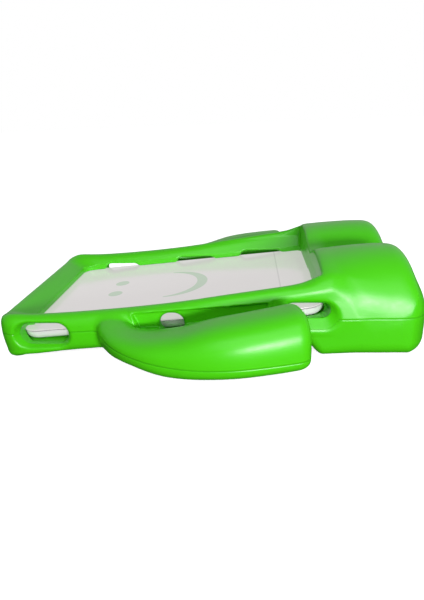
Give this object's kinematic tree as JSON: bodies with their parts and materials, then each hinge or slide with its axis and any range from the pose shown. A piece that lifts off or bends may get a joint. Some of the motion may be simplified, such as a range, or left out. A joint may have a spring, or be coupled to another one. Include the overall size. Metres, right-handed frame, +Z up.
{
  "type": "foam-cased kids tablet",
  "caption": "Thin touch tablet held in a thick one-piece green foam bumper with two curved handle arms and two stubby feet to stand it on.",
  "frame": {"origin": "centre of the bounding box's base, the object lying on its back", "axes": "+X towards the soles of the feet, +Z up out of the display, -Y towards the display's left side"},
  "size_m": [0.28, 0.26, 0.0616],
  "materials": {
    "foam": "satin closed-cell foam with a smooth moulded skin",
    "shell_plastic": "fine satin moulding",
    "key_plastic": "fine satin moulding",
    "screen_glass": "polished, printed pale grey on its inner face",
    "gasket_foam": "matt adhesive foam",
    "display": "smooth film",
    "steel": "thin pressed sheet",
    "battery_wrap": "dull laminated pouch",
    "circuit_board": "green solder mask",
    "black_plastic": "fine matt",
    "flex_cable": "copper-brown polyimide film",
    "lens_glass": "polished, dark"
  },
  "bodies": {
    "case_and_tablet": {"foam_case": "foam", "rear_shell": "shell_plastic", "screw_post_1": "shell_plastic", "screw_post_2": "shell_plastic", "screw_post_3": "shell_plastic", "screw_post_4": "shell_plastic", "front_glass": "screen_glass", "glass_gasket": "gasket_foam", "display_panel": "display", "display_backlight": "steel", "metal_frame": "steel", "board_shield": "steel", "radio_module": "steel", "charging_port": "steel", "frame_screw_1": "steel", "frame_screw_2": "steel", "frame_screw_3": "steel", "frame_screw_4": "steel", "battery_cell_left": "battery_wrap", "battery_cell_right": "battery_wrap", "battery_board": "circuit_board", "main_board": "circuit_board", "processor": "black_plastic", "memory_chip": "black_plastic", "power_chip": "black_plastic", "headphone_jack": "black_plastic", "speaker_left": "black_plastic", "speaker_right": "black_plastic", "microphone": "black_plastic", "rear_camera": "black_plastic", "front_camera": "black_plastic", "power_switch": "black_plastic", "volume_up_switch": "black_plastic", "volume_down_switch": "black_plastic", "battery_cable": "flex_cable", "port_cable": "flex_cable", "antenna": "flex_cable", "display_cable": "flex_cable", "rear_camera_window": "lens_glass"},
    "power_button": {"power_button": "key_plastic"},
    "volume_up_button": {"volume_up_button": "key_plastic"},
    "volume_down_button": {"volume_down_button": "key_plastic"}
  },
  "joints": [
    {"name": "power_press", "type": "slide", "parent": "case_and_tablet", "child": "power_button", "axis": [0.9968, 0, 0.0802], "range_m": [0, 0.0003], "stiffness_N_per_m": 3000},
    {"name": "volume_up_press", "type": "slide", "parent": "case_and_tablet", "child": "volume_up_button", "axis": [0, -1, 0], "range_m": [0, 0.0003], "stiffness_N_per_m": 3000},
    {"name": "volume_down_press", "type": "slide", "parent": "case_and_tablet", "child": "volume_down_button", "axis": [0, -1, 0], "range_m": [0, 0.0003], "stiffness_N_per_m": 3000}
  ]
}
